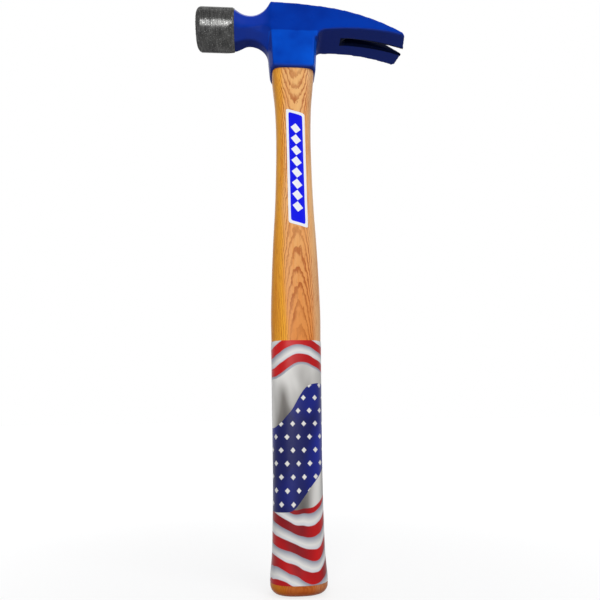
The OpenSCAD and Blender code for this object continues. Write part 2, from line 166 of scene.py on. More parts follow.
class HammerHead(bpy.types.PropertyGroup):
    """Sizes of the forged head."""
    block_l: length(38.4, "Block length", "Length of the eye block along the head")
    block_w: length(30, "Collar thickness", "Thickness of the eye block at the collar")
    top_w: length(27.4, "Top thickness", "Thickness of the eye block at its top")
    cheek_h: length(26.6, "Cheek height", "Height of the sloping cheeks")
    apex_in: length(1.6, "Top edge", "How far the top's front edge lies behind the block's end")
    rim_draw: length(1.4, "Rim draw", "How far the ends of the collar draw in at the rim")
    corner_x: length(3.8, "Corner along", "Corner cut at the rim, along the head")
    corner_y: length(12, "Corner across", "Corner cut at the rim, across the head")
    corner_top_x: length(2.2, "Corner at cheeks", "Corner cut at the foot of the cheeks")
    rim_bevel_h: length(1.6, "Rim bevel height", "Height of the bevel round the rim")
    rim_bevel_d: length(0.8, "Rim bevel depth", "Depth of the bevel round the rim")
    poll_d: length(33.4, "Poll diameter", "Diameter of the ground poll")
    poll_l: length(28.8, "Poll length", "Length of the ground poll")
    poll_drop: length(0.6, "Poll drop", "Depth of the poll's top below the head's top")
    bevel_l: length(4.4, "Face bevel length", "Length of the bevel round the striking face")
    bevel_h: length(5.6, "Face bevel height", "Height of the bevel round the striking face")
    tooth_pitch: length(2.4, "Tooth pitch", "Pitch of the milled teeth")
    tooth_h: length(1, "Tooth depth", "Depth of the milled teeth")
    tooth_flat: length(0.5, "Tooth tip", "Width of a tooth's flat tip")
    neck_d: length(22, "Neck width", "Width of the eight-sided neck across its flats")
    neck_reach: length(33.8, "Neck place", "Distance from the handle's axis to the neck's middle")
    neck_run: length(10.6, "Neck run", "How far the neck's lower facets run into the poll")
    sweep_r: length(15, "Sweep radius", "Radius of the sweep from the neck to the collar")
    claw_tip_w: length(37.4, "Claw width", "Width of the claw at its tips")
    claw_drop: length(31.8, "Claw drop", "Depth of the claw's tips below the head's top")
    claw_root_h: length(24.2, "Claw root depth", "Depth of the underside's highest point")
    crest_reach: length(41, "Crest place", "Distance from the handle's axis to that point")
    claw_edge_t: length(1.2, "Claw edge", "Thickness of the edge at the tips")
    tip_rake: length(2.8, "Tip rake", "How far the tips' outer corners lie behind the inner ones")
    tip_round: length(1.2, "Tip corners", "Corner cut of the tips' outer corners")
    root_r: length(6.4, "Root fillet", "Radius of the fillet under the claw's root")
    slot_tip_w: length(5.3, "Slot mouth", "Width of the nail slot at the tips")
    slot_root_w: length(4.0, "Slot end", "Width of the nail slot at its closed end")
    slot_l: length(47, "Slot length", "Length of the nail slot")
    slot_sink: length(2, "Slot countersink", "Width of the countersink at the slot's closed end")
    slot_sink_h: length(6, "Countersink depth", "Depth of the countersink")
    paint_x: length(-46, "Paint edge", "Where the enamel ends on the neck")
    paint_sink: length(1.2, "Paint depth", "How deep the enamel's skin runs under the steel")
    claw_grow: length(0.35, "Claw allowance", "What the claw's tips lose when they are rounded")
    side_grow: length(0.22, "Side allowance", "What the claw's sides lose when they are rounded")
    grain: length(0.7, "Skin grain", "Size of the faces of the forging's skin")


class HammerHandle(bpy.types.PropertyGroup):
    """Sizes of the handle, its tenon and the wedges in it."""
    butt_w: length(37.4, "Butt width", "Width of the butt")
    butt_t: length(30, "Butt thickness", "Thickness of the butt")
    grip_w: length(32.8, "Grip width", "Width of the grip")
    grip_t: length(26.4, "Grip thickness", "Thickness of the grip")
    swell_w: length(35.4, "Swell width", "Width above the grip")
    swell_t: length(27.4, "Swell thickness", "Thickness above the grip")
    waist_w: length(26.6, "Waist width", "Width at the thinnest")
    waist_t: length(21.8, "Waist thickness", "Thickness at the thinnest")
    shoulder_w: length(32.8, "Shoulder width", "Width at the rim")
    shoulder_t: length(25.4, "Shoulder thickness", "Thickness at the rim")
    butt_round: length(5.6, "Butt rounding", "Rounding of the butt's edge")
    eye_l: length(32.2, "Eye length", "Length of the eye at the rim")
    eye_w: length(25, "Eye width", "Width of the eye at the rim")
    eye_waist: length(8, "Eye waist", "How much narrower the eye's waist is")
    eye_flare: length(6, "Eye flare", "How much narrower the eye's top is")
    end_sink: length(0.4, "End depth", "Depth of the handle's end below the head's top")
    kerf_w: length(1.4, "Kerf width", "Width of the saw kerf")
    wood_wedge_t: length(4.8, "Wooden wedge", "Thickness of the wooden wedge at its top")
    wood_wedge_h: length(38, "Wooden wedge height", "Height of the wooden wedge")
    steel_wedge_t: length(2.6, "Steel wedge", "Thickness of a steel wedge at its top")
    steel_wedge_w: length(15, "Steel wedge width", "Width of a steel wedge")
    steel_wedge_h: length(22, "Steel wedge height", "Height of a steel wedge")
    steel_wedge_gap: length(14, "Wedge distance", "Distance between the two steel wedges")


class HammerFilms(bpy.types.PropertyGroup):
    """Sizes of the label and of the sleeve's print."""
    film_gap: length(0.03, "Film gap", "Gap between a film and the wood")
    sleeve_t: length(0.4, "Sleeve thickness", "Thickness of the shrunk film")
    label_t: length(0.15, "Label thickness", "Thickness of the label")
    label_w: length(14, "Label width", "Width of the label")
    label_off: length(1.6, "Label place", "How far the label sits towards the claw")
    label_slant: length(4, "Label slant", "Slant of the label's ends")
    label_lean: length(1.2, "Label lean", "How far its top leans towards the striking face")
    label_round: length(1.6, "Label corners", "Radius of the label's corners")
    label_border: length(1.7, "Label border", "Width of the label's white border")
    lozenge_pitch: length(9, "Lozenge distance", "Distance between the label's lozenges")
    lozenge_w: length(7.6, "Lozenge width", "Width of the label's lozenges")
    lozenge_h: length(8.2, "Lozenge height", "Height of the label's lozenges")
    wave_pitch: length(13, "Wave pitch", "Height of one red and one white wave")
    motif_pitch: length(8.5, "Motif pitch", "Distance between the white motifs")


class HammerColours(bpy.types.PropertyGroup):
    """Colours of the finishes."""
    enamel: colour(3, 56, 168, "Enamel", "Blue enamel of the forging")
    enamel_deep: colour(3, 44, 146, "Deep enamel", "Enamel where it lies thicker")
    # Painted light: a lighter enamel that makes the collar look more brightly lit than the cheeks
    enamel_light: colour(6, 82, 206, "Light enamel", "Enamel of the collar")
    # Painted shade: a darker enamel on the undersides and on the collar's left-facing ends
    enamel_under: colour(40, 61, 154, "Underside enamel", "Enamel that pooled on the undersides")
    # Painted shade: a near-black enamel on the nail slot's walls, where little light gets in
    enamel_slot: colour(1, 12, 46, "Slot enamel", "Enamel in the nail slot")
    # Painted reflection: a lighter, more violet enamel on the neck's upper facets, where the glossy
    # paint would catch light
    enamel_thin: colour(24, 56, 164, "Thin enamel", "Enamel of the neck")
    steel: colour(88, 88, 87, "Ground steel", "Ground steel of the poll")
    steel_dark: colour(38, 38, 38, "Dark steel", "Darker brush marks of the poll")
    steel_bright: colour(196, 196, 194, "Bright steel", "Bright specks of the poll")
    wood_pale: colour(244, 194, 128, "Pale wood", "Early wood of the hickory")
    # Used towards the handle's right side
    wood_fair: colour(248, 206, 152, "Fair wood", "Palest wood of the hickory")
    wood_tan: colour(222, 126, 42, "Tan wood", "Warm wood of the hickory")
    # Used towards the handle's left side
    wood_gold: colour(248, 176, 44, "Golden wood", "Wood of the hickory's flanks")
    wood_brown: colour(164, 68, 18, "Brown wood", "Late wood, pores and streaks of the hickory")
    wedge_wood: colour(176, 118, 66, "Wedge wood", "Wood of the wooden wedge")
    label_blue: colour(0, 4, 236, "Label blue", "Panel of the label")
    label_white: colour(240, 241, 246, "Label white", "Border and lozenges of the label")
    film_white: colour(230, 228, 224, "Film white", "Ground of the printed sleeve")
    film_silver: colour(128, 124, 120, "Film silver", "Silver ground between the folds")
    film_grey: colour(110, 106, 104, "Film grey", "Silver ground on the folds' backs")
    film_dark: colour(46, 42, 42, "Film dark", "Silver ground in the deepest folds")
    film_frost: colour(206, 206, 214, "Film frost", "Foot of a white wave")
    film_shade: colour(150, 152, 166, "Film shade", "Top of a white wave")
    film_navy: colour(8, 16, 84, "Film navy", "Navy of the printed sleeve")
    film_blue: colour(24, 40, 156, "Film blue", "Navy where the folds catch light")
    film_red: colour(206, 20, 22, "Film red", "Red of the printed sleeve")
    film_wine: colour(120, 10, 22, "Film wine", "Red in the folds")


# Meshes

def spread(first, last, steps):
    """Values at even steps from a first one to a last one."""
    return [first + (last - first) * i / steps for i in range(steps + 1)]


def loft(rows, sides, closed=False):
    """A skin over rows of points, each a function of the place round the ring, from 0 to 1."""
    bm = bmesh.new()
    turn = bm.verts.layers.int.new("turn")
    ring = bmesh.ops.create_circle(bm, segments=sides, radius=1)["verts"]
    for k, vert in enumerate(ring):
        vert[turn] = k
    edges = list(bm.edges)
    first = list(edges)
    for i, row in enumerate(rows):
        if i:
            made = bmesh.ops.extrude_edge_only(bm, edges=edges)["geom"]
            ring = [g for g in made if isinstance(g, bmesh.types.BMVert)]
            new = set(ring)
            edges = [g for g in made if isinstance(g, bmesh.types.BMEdge)
                     and g.verts[0] in new and g.verts[1] in new]
        for vert in ring:
            vert.co = row(vert[turn] / sides)
    if closed:
        bmesh.ops.bridge_loops(bm, edges=first + edges)
    else:
        bmesh.ops.contextual_create(bm, geom=first)
        bmesh.ops.contextual_create(bm, geom=edges)
    bmesh.ops.recalc_face_normals(bm, faces=bm.faces)
    return bm


def outline_face(points):
    """A flat face inside a closed outline of points."""
    bm = bmesh.new()
    verts = [bm.verts.new(p) for p in points]
    edges = [bm.edges.new((a, b)) for a, b in zip(verts, verts[1:] + verts[:1])]
    bmesh.ops.edgeloop_fill(bm, edges=edges)
    return bm


def prism(points, move):
    """A flat outline of points, extruded along a vector."""
    bm = outline_face(points)
    made = bmesh.ops.extrude_face_region(bm, geom=bm.faces[:])["geom"]
    bmesh.ops.translate(bm, vec=move, verts=[g for g in made if isinstance(g, bmesh.types.BMVert)])
    bmesh.ops.recalc_face_normals(bm, faces=bm.faces)
    return bm


def slab(points, low, high):
    """An outline in the XZ plane, run across the head between two values of Y."""
    return prism([(x, low, z) for x, z in points], (0, high - low, 0))


def tilted(x, y, angle):
    """A level direction, tilted up by an angle."""
    return (x * math.cos(angle), y * math.cos(angle), math.sin(angle))


def plane_cut(bm, place, normal):
    """Keeps what lies behind a plane, and closes the cut."""
    made = bmesh.ops.bisect_plane(bm, geom=bm.verts[:] + bm.edges[:] + bm.faces[:], dist=MERGE,
                                  plane_co=place, plane_no=normal, clear_outer=True)["geom_cut"]
    edges = [g for g in made if isinstance(g, bmesh.types.BMEdge)]
    if edges:
        bmesh.ops.edgeloop_fill(bm, edges=edges)


def mesh_object(bm, name):
    """A new object that holds a bmesh."""
    obj = bpy.data.objects.new(name, bpy.data.meshes.new(name))
    put_back(bm, obj)
    bpy.context.scene.collection.objects.link(obj)
    return obj


def mesh_of(obj):
    """A bmesh with the mesh of an object."""
    bm = bmesh.new()
    bm.from_mesh(obj.data)
    return bm


def put_back(bm, obj):
    """Makes a bmesh the mesh of an object."""
    bm.to_mesh(obj.data)
    bm.free()


def merge_into(bm, part):
    """Adds a bmesh to another one."""
    mesh = bpy.data.meshes.new("part")
    part.to_mesh(mesh)
    part.free()
    bm.from_mesh(mesh)
    bpy.data.meshes.remove(mesh)


def apply_modifiers(obj):
    """Makes the object's modifiers part of its mesh."""
    graph = bpy.context.evaluated_depsgraph_get()
    mesh = bpy.data.meshes.new_from_object(obj.evaluated_get(graph))
    old = obj.data
    obj.modifiers.clear()
    obj.data = mesh
    bpy.data.meshes.remove(old)


def cut_out(obj, bm, solver="EXACT"):
    """Cuts a closed tool out of an object."""
    tool = mesh_object(bm, "tool")
    step = obj.modifiers.new("cut", "BOOLEAN")
    step.operation = "DIFFERENCE"
    step.object = tool
    step.solver = solver
    apply_modifiers(obj)
    mesh = tool.data
    bpy.data.objects.remove(tool)
    bpy.data.meshes.remove(mesh)


def finish_piece(obj, material, node, sharp):
    """Shades a piece, with sharp edges from an angle on, and lets it stand for its solid."""
    bm = mesh_of(obj)
    for face in bm.faces:
        face.smooth = True
        face.material_index = 0
    for edge in bm.edges:
        edge.smooth = edge.calc_face_angle(0) < math.radians(sharp)
    put_back(bm, obj)
    obj.data.materials.clear()
    obj.data.materials.append(material)
    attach(obj, "root")
    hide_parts(node)


# Materials

class Nodes:
    """A short way to write a material's nodes."""

    def __init__(self, name):
        self.material = bpy.data.materials.new(name)
        self.material.use_nodes = True
        self.tree = self.material.node_tree
        self.shader = self.tree.nodes["Principled BSDF"]
        self.place = self.add("ShaderNodeTexCoord").outputs["Object"]

    def add(self, kind, inputs=(), **settings):
        node = self.tree.nodes.new(kind)
        for key, value in settings.items():
            setattr(node, key, value)
        for key, value in dict(inputs).items():
            self.put(node.inputs[key], value)
        return node

    def put(self, socket, value):
        if isinstance(value, bpy.types.NodeSocket):
            self.tree.links.new(value, socket)
        elif isinstance(value, (tuple, list)) and len(value) == 3 and socket.type == "RGBA":
            socket.default_value = (*value, 1)
        else:
            socket.default_value = value

    def math(self, operation, a, b=0.0, c=0.0, clamp=False):
        return self.add("ShaderNodeMath", {0: a, 1: b, 2: c}, operation=operation,
                        use_clamp=clamp).outputs[0]

    def plus(self, a, b):
        return self.math("ADD", a, b)

    def less(self, a, b):
        return self.math("SUBTRACT", a, b)

    def times(self, a, b):
        return self.math("MULTIPLY", a, b)

    def scaled(self, value, factor, offset):
        return self.math("MULTIPLY_ADD", value, factor, offset)

    def size(self, value):
        return self.math("ABSOLUTE", value)

    def most(self, a, b):
        return self.math("MAXIMUM", a, b)

    def hypot(self, a, b):
        return self.math("SQRT", self.plus(self.times(a, a), self.times(b, b)))

    def cell(self, value):
        """The place in a cell that repeats at every whole number, from -0.5 to 0.5."""
        return self.less(self.math("FRACT", value), 0.5)

    def climb(self, a, b, width):
        """Nothing until a passes b, and from there up to one over a width."""
        return self.math("MULTIPLY", self.less(a, b), 1 / width, clamp=True)

    def soft_step(self, a, b, width):
        """Nothing where a lies below b and one where it lies above, over a short width."""
        return self.math("MULTIPLY_ADD", self.less(a, b), 1 / width, 0.5, clamp=True)

    def split(self, vector):
        return self.add("ShaderNodeSeparateXYZ", {0: vector}).outputs

    def noise(self, vector, scale, detail, rough, twist=0.0):
        return self.add("ShaderNodeTexNoise", {"Vector": vector, "Scale": scale, "Detail": detail,
                                               "Roughness": rough, "Distortion": twist}).outputs[0]

    def stretched(self, scale, detail, rough, twist=0.0):
        """Noise with a scale of its own along each axis."""
        place = self.add("ShaderNodeMapping", {"Vector": self.place, "Scale": scale}).outputs[0]
        return self.noise(place, 1, detail, rough, twist)

    def ramp(self, value, stops):
        """Colours or plain values against a value: stops are (place, colour or number)."""
        node = self.add("ShaderNodeValToRGB", {0: value})
        points = node.color_ramp.elements
        while len(points) < len(stops):
            points.new(0.5)
        for point, (place, c) in zip(points, stops):
            point.position = place
            point.color = (*c, 1) if isinstance(c, (tuple, list)) else (c, c, c, 1)
        return node.outputs[0]

    def mix(self, share, a, b):
        node = self.add("ShaderNodeMix", data_type="RGBA")
        for socket, value in ((node.inputs[0], share), (node.inputs[6], a), (node.inputs[7], b)):
            self.put(socket, value)
        return node.outputs[2]

    def bump(self, height, strength, distance, under=None):
        inputs = {"Height": height, "Strength": strength, "Distance": distance}
        if under:
            inputs["Normal"] = under
        return self.add("ShaderNodeBump", inputs).outputs[0]

    def finish(self, **values):
        """Sets the shader's own sockets, and returns the material."""
        for key, value in values.items():
            self.put(self.shader.inputs[key.replace("_", " ")], value)
        return self.material


def colours():
    """The colour settings, as plain tuples."""
    group = bpy.context.scene.hammer_colours
    return {key: tuple(getattr(group, key)) for key in HammerColours.__annotations__}


def enamel_material():
    """Blue enamel with a soft forged unevenness under it, with painted light on the upright collar, a
    painted reflection on the neck's upper facets, and painted shade on the undersides, on the collar's
    left-facing ends and in the nail slot.
    """
    c = colours()
    s = bpy.context.scene.hammer_head
    n = Nodes("enamel")
    x, y, z = n.split(n.place)
    wave = n.noise(n.place, 45, 2, 0.5)
    fine = n.noise(n.place, 900, 2, 0.6)
    cheeks = n.ramp(wave, [(0.30, c["enamel_deep"]), (0.66, c["enamel"])])
    # The collar gets painted light: a lighter enamel below the cheeks' foot
    collar = n.ramp(wave, [(0.30, c["enamel"]), (0.70, c["enamel_light"])])
    edge = n.scaled(n.less(wave, 0.5), 3 * MM, TOP_Z - s.cheek_h)
    low = n.soft_step(edge, z, 0.7 * MM)
    near = n.soft_step(s.block_l / 2, n.size(x), 1.2 * MM)
    base = n.mix(n.times(low, near), cheeks, collar)
    # A painted reflection on the upper facets of the neck
    thin = n.times(n.soft_step(-s.block_l / 2 - 2 * MM, x, 6 * MM),
                   n.soft_step(z, poll_centre_z() - 3 * MM, 3 * MM))
    base = n.mix(thin, base, c["enamel_thin"])
    along, _, facing = n.split(n.add("ShaderNodeNewGeometry").outputs["Normal"])
    # Painted shade on faces that look down, and on the collar's faces that look towards -X
    under = n.math("MULTIPLY_ADD", facing, -1.3, -0.2, clamp=True)
    ends = n.soft_step(-0.80, along, 0.2)
    under = n.most(under, n.times(n.times(ends, low), 0.85))
    # Painted shade on the nail slot's inner walls
    slot_shade = n.soft_step(4.6 * MM, n.size(y), 1 * MM)
    slot_shade = n.times(slot_shade, n.math("GREATER_THAN", x, TIP_X - s.slot_l - s.slot_root_w))
    slot_shade = n.times(slot_shade, n.soft_step(0.55, facing, 0.3))
    base = n.mix(under, base, c["enamel_under"])
    base = n.mix(slot_shade, base, c["enamel_slot"])
    normal = n.bump(wave, 0.16, 2 * MM)
    normal = n.bump(fine, 0.08, 0.2 * MM, normal)
    rough = n.ramp(n.noise(n.place, 160, 3, 0.6), [(0.3, 0.26), (0.7, 0.36)])
    return n.finish(Base_Color=base, Roughness=rough, Normal=normal, Specular_IOR_Level=0.02)


def ground_steel_material(across):
    """Bare steel with fine marks of the grinder: round the poll, or along a wedge."""
    c = colours()
    n = Nodes("ground_steel" if across else "wedge_steel")
    marks = n.stretched((2200, 90, 90) if across else (300, 300, 2600), 4, 0.7)
    cloud = n.noise(n.place, 90, 3, 0.6)
    base = n.ramp(n.scaled(marks, 0.7, n.times(cloud, 0.3)),
                  [(0.38, c["steel_dark"]), (0.64, c["steel"])])
    specks = n.ramp(n.noise(n.place, 1500, 2, 0.6), [(0.60, 0.0), (0.72, 0.5)])
    base = n.mix(specks, base, c["steel_bright"])
    rough = n.ramp(cloud, [(0.3, 0.20), (0.75, 0.29)])
    return n.finish(Base_Color=base, Metallic=1.0, Roughness=rough, Specular_Tint=(0.45, 0.45, 0.45, 1),
                    Normal=n.bump(marks, 0.20, 0.12 * MM))


def hickory_material():
    """Lacquered hickory: pointed arches of growth rings, streaks and fine dark pores."""
    c = colours()
    n = Nodes("hickory")
    x, y, z = n.split(n.place)
    wander = n.stretched((24, 24, 9), 3, 0.55)
    side = n.scaled(n.less(wander, 0.5), 12 * MM, n.less(x, RING_X))
    bow = n.less(z, RING_Z)
    reach = n.scaled(n.times(bow, bow), -0.25, n.hypot(side, n.less(y, RING_Y)))
    reach = n.scaled(n.stretched((260, 260, 110), 3, 0.6), 1.1 * MM, reach)
    reach = n.scaled(n.stretched((700, 700, 260), 2, 0.6), 0.5 * MM, reach)
    rings = n.math("FRACT", n.times(reach, 1 / RING_PITCH))
    late = n.ramp(rings, [(0.0, 0.0), (0.40, 0.05), (0.68, 0.9), (0.88, 1.0), (0.97, 0.1)])
    late = n.times(late, n.ramp(n.stretched((70, 70, 16), 3, 0.5), [(0.36, 0.15), (0.60, 1.0)]))
    streak = n.stretched((480, 480, 14), 4, 0.65)
    broad = n.stretched((60, 60, 6), 3, 0.5)
    base = n.mix(n.ramp(broad, [(0.35, 0.0), (0.75, 0.55)]), c["wood_pale"], c["wood_tan"])
    lower = n.climb(300 * MM, z, 150 * MM)
    base = n.mix(n.times(lower, 0.8), base, c["wood_tan"])
    # Golden towards the handle's left side, and palest towards its right side
    flank = n.climb(-9 * MM, side, 3 * MM)
    base = n.mix(n.times(flank, 0.8), base, c["wood_gold"])
    fair = n.climb(side, 7 * MM, 4 * MM)
    base = n.mix(n.times(fair, 0.7), base, c["wood_fair"])
    base = n.mix(n.ramp(streak, [(0.48, 0.0), (0.76, 0.6)]), base, c["wood_tan"])
    base = n.mix(n.times(late, 0.80), base, c["wood_brown"])
    pits = n.ramp(n.stretched((760, 760, 90), 2, 0.5), [(0.60, 0.0), (0.70, 0.8)])
    base = n.mix(n.times(pits, n.scaled(late, 0.6, 0.3)), base, c["wood_brown"])
    foot = n.ramp(n.climb(z, 0.0, 12 * MM), [(0.0, 0.9), (1.0, 0.35)])
    foot = n.times(foot, n.soft_step(14 * MM, z, 4 * MM))
    base = n.mix(foot, base, c["wood_brown"])
    normal = n.bump(streak, 0.12, 0.3 * MM)
    normal = n.bump(pits, 0.10, 0.2 * MM, normal)
    rough = n.ramp(streak, [(0.3, 0.30), (0.8, 0.46)])
    return n.finish(Base_Color=base, Roughness=rough, Normal=normal, Specular_IOR_Level=0.08,
                    Coat_Weight=0.03, Coat_Roughness=0.2)


def wedge_wood_material():
    """End grain of the wooden wedge, darker than the handle."""
    c = colours()
    n = Nodes("wedge_wood")
    rings = n.stretched((90, 900, 90), 3, 0.6)
    base = n.ramp(rings, [(0.3, c["wood_brown"]), (0.7, c["wedge_wood"])])
    return n.finish(Base_Color=base, Roughness=0.7, Normal=n.bump(rings, 0.3, 0.2 * MM),
                    Specular_IOR_Level=0.3)


def label_material():
    """A blue printed panel with a row of white lozenges, inside a white border."""
    c = colours()
    s = bpy.context.scene.hammer_films
    n = Nodes("label_print")
    x, _, z = n.split(n.place)
    mid, high = (label_low.z + label_high.z) / 2, label_high.z - label_low.z
    tilt = s.label_lean / high
    side = n.less(n.scaled(z, tilt, x), s.label_off + tilt * mid)
    up = n.less(n.scaled(side, s.label_slant / s.label_w, z), mid)
    flat_x = s.label_w / 2 - s.label_border - s.label_round
    flat_z = (high - s.label_slant) / 2 - s.label_border * BORDER_ENDS - s.label_round
    out_x = n.most(n.less(n.size(side), flat_x), 0.0)
    out_z = n.most(n.less(n.size(up), flat_z), 0.0)
    inside = n.climb(s.label_round, n.hypot(out_x, out_z), 0.12 * MM)
    ink = n.noise(n.place, 350, 2, 0.5)
    panel = n.mix(n.times(ink, 0.12), c["label_blue"], c["enamel_deep"])
    cell = n.cell(n.times(up, 1 / s.lozenge_pitch))
    lozenge = n.plus(n.times(n.size(side), 2 / s.lozenge_w),
                     n.times(n.size(cell), 2 * s.lozenge_pitch / s.lozenge_h))
    lozenge = n.soft_step(1.0, lozenge, 0.06)
    row = n.math("GREATER_THAN", LOZENGES / 2 * s.lozenge_pitch, n.size(up))
    panel = n.mix(n.times(lozenge, row), panel, c["label_white"])
    base = n.mix(inside, c["label_white"], panel)
    return n.finish(Base_Color=base, Roughness=0.35, Specular_IOR_Level=0.10,
                    Normal=n.bump(ink, 0.06, 0.2 * MM))


def sleeve_material():
    """Satin printed film: a silver ground with soft folds, a navy band of motifs, red waves."""
    c = colours()
    s = bpy.context.scene.hammer_films
    n = Nodes("sleeve_print")
    u, v, _ = n.split(n.add("ShaderNodeUVMap", uv_map="print").outputs[0])
    fold = n.stretched((30, 30, 13), 2, 0.45, 0.6)
    silver = n.ramp(fold, [(0.28, c["film_dark"]), (0.42, c["film_silver"]),
                           (0.56, c["film_white"]), (0.72, c["film_grey"])])
    sway = n.math("SINE", n.scaled(u, 4 * math.pi / PRINT_SPAN, n.times(v, 30)))
    wave = n.scaled(fold, FOLD_SHIFT, n.scaled(sway, WAVE_SWAY, v))
    beat = n.math("FRACT", n.times(wave, 1 / s.wave_pitch))
    red = n.ramp(beat, [(0.0, 1.0), (0.03, 0.0), (0.52, 0.0), (0.55, 1.0), (0.97, 1.0)])
    shade = n.ramp(beat, [(0.0, c["film_frost"]), (0.2, c["film_white"]), (0.5, c["film_shade"])])
    deep = n.ramp(fold, [(0.35, c["film_wine"]), (0.62, c["film_red"])])
    striped = n.most(n.climb(WAVES_BELOW, wave, INK_EDGE), n.climb(wave, WAVES_ABOVE, INK_EDGE))
    base = n.mix(striped, silver, n.mix(red, shade, deep))
    slope = n.scaled(n.math("SINE", n.times(u, 2 * math.pi / PRINT_SPAN)), -BAND_RISE, wave)
    band = n.climb(BAND_HALF, n.size(n.less(slope, BAND_MID)), INK_EDGE)
    row = n.times(v, 1 / s.motif_pitch)
    odd = n.times(n.math("FLOOR", row), 0.5)
    columns = round(PRINT_SPAN / s.motif_pitch)
    gem = n.plus(n.size(n.cell(n.scaled(u, columns / PRINT_SPAN, odd))), n.size(n.cell(row)))
    navy = n.mix(n.ramp(fold, [(0.38, 0.0), (0.66, 1.0)]), c["film_navy"], c["film_blue"])
    base = n.mix(band, base, n.mix(n.climb(0.24, gem, 1 / 18), navy, c["film_white"]))
    crease = n.stretched((90, 90, 30), 3, 0.5)
    return n.finish(Base_Color=base, Roughness=0.36, Specular_IOR_Level=0.18,
                    Normal=n.bump(crease, 0.25, 0.8 * MM), Sheen_Weight=0.05)


# The forged head

def poll_centre_z():
    """Height of the poll's axis."""
    s = bpy.context.scene.hammer_head
    return TOP_Z - s.poll_drop - s.poll_d / 2


def apex_x():
    """The place of the block's front edge at its top, where the top line begins to fall."""
    s = bpy.context.scene.hammer_head
    return s.apex_in - s.block_l / 2


def cheek_slope():
    """How fast the cheeks draw in on their way up."""
    s = bpy.context.scene.hammer_head
    return (s.block_w - s.top_w) / 2 / s.cheek_h


def top_at(x):
    """Height of the head's top line: level above the neck, falling faster towards the tips."""
    s = bpy.context.scene.hammer_head
    share = max(x - apex_x(), 0) / (TIP_X - apex_x())
    return TOP_Z - (s.claw_drop - s.claw_edge_t) * share ** TOP_POWER


def top_line(x0, x1, steps):
    """Points of the top line between two places along the head."""
    return [(x, top_at(x)) for x in spread(x0, x1, steps)]


def arc(cx, cy, r, a0, a1, steps):
    """Points of an arc about a centre, from angle a0 to angle a1 in degrees."""
    angles = [math.radians(a) for a in spread(a0, a1, steps)]
    return [(cx + r * math.cos(a), cy + r * math.sin(a)) for a in angles]


def rise(run, height):
    """Radius and angle of an arc that leaves a level point and rises over a run."""
    r = (run * run + height * height) / (2 * height)
    return r, math.degrees(math.asin(run / r))


def neck_flats(x):
    """Distance of each of the neck's eight flats from the poll's axis, at a place along it."""
    s = bpy.context.scene.hammer_head
    poll_r, neck_r, poll_z = s.poll_d / 2, s.neck_d / 2, poll_centre_z()
    side = s.block_w / 2 - (poll_z - TOP_Z + s.cheek_h) * cheek_slope() - NECK_SINK
    corner = (s.top_w / 2 + TOP_Z - poll_z) / math.sqrt(2)
    ends = [side, corner, TOP_Z - poll_z, corner, side, neck_r, neck_r, neck_r]
    middle = -s.neck_reach
    flats = []
    for k, end in enumerate(ends):
        low = k > 4
        poll_end = FACE_X + s.poll_l - (s.neck_run if low else 0)
        run = middle - poll_end if x < middle else apex_x() - middle
        height = (poll_r if x < middle else end) - neck_r
        if height <= 0:
            flats.append(neck_r)
            continue
        bend = BEND_SHARE if low and x < middle else 0
        r, _ = rise(run, height)
        away = min(abs(x - middle), run)
        if away > run * (1 - bend):
            bend_r, left = r * bend, run - away
            flats.append(poll_r - bend_r + math.sqrt(bend_r ** 2 - left ** 2))
            continue
        r *= 1 - bend
        flats.append(neck_r + r - math.sqrt(r * r - away * away))
    return flats


def neck_radius(x, turn, most):
    """Radius of the neck at a place along it and round it, kept under a largest one."""
    for k, flat in enumerate(neck_flats(x)):
        facing = math.cos(2 * math.pi * turn - k * math.pi / 4)
        if facing > 0:
            most = min(most, flat / facing)
    return most


def ring_point(x, radius, turn):
    """A point round the poll's axis: the turn runs from +Y up over the top."""
    angle = 2 * math.pi * turn
    return (x, radius * math.cos(angle), poll_centre_z() + radius * math.sin(angle))


def neck_row(x, most, sink=0.0):
    """A ring of the neck, sunk in from its surface."""
    return lambda turn: ring_point(x, neck_radius(x, turn, most) - sink, turn)


def neck_shell():
    """The neck, from under the poll's steel into the eye block."""
    s = bpy.context.scene.hammer_head
    rows = []
    for x in spread(s.paint_x - NECK_UNDER, apex_x() + NECK_INTO, 60):
        bare = min(max((s.paint_x - x) / s.grain, 0), 1)
        most = s.poll_d / 2 if x < -s.neck_reach else math.inf
        rows.append(neck_row(x, most, s.paint_sink * bare))
    return loft(rows, 96)


def sweep_shell():
    """The neck's lower facets, swept a quarter turn down and out into the collar's corners."""
    s = bpy.context.scene.hammer_head
    half_l, half_w, neck_r = s.block_l / 2, s.block_w / 2, s.neck_d / 2
    flat = neck_r * math.tan(math.pi / 8)
    cx, cz = -half_l - s.sweep_r, poll_centre_z() - neck_r - s.sweep_r
    cut = half_w - flat
    near, far = (cut + into for into in SWEEP_INTO)
    half = [(0, 0), (0, flat), (cut / 2, flat + cut / 2), (cut, half_w), (near, half_w),
            (far, half_w), (far, half_w / 2), (far, 0)]
    profile = half + [(reach, -y) for reach, y in reversed(half)]
    steps = 24

    def row(i):
        angle = math.pi / 2 * (1 - i / steps)

        def point(turn):
            reach, y = profile[round(turn * len(profile))]
            x = cx + (s.sweep_r + reach) * math.cos(angle)
            widest = min(neck_flats(x)[0] if x < apex_x() else half_w, half_w)
            z = min(cz + (s.sweep_r + reach) * math.sin(angle), poll_centre_z())
            return (x, math.copysign(min(abs(y), widest), y), z)
        return point

    return loft([row(i) for i in range(steps + 1)], len(profile))


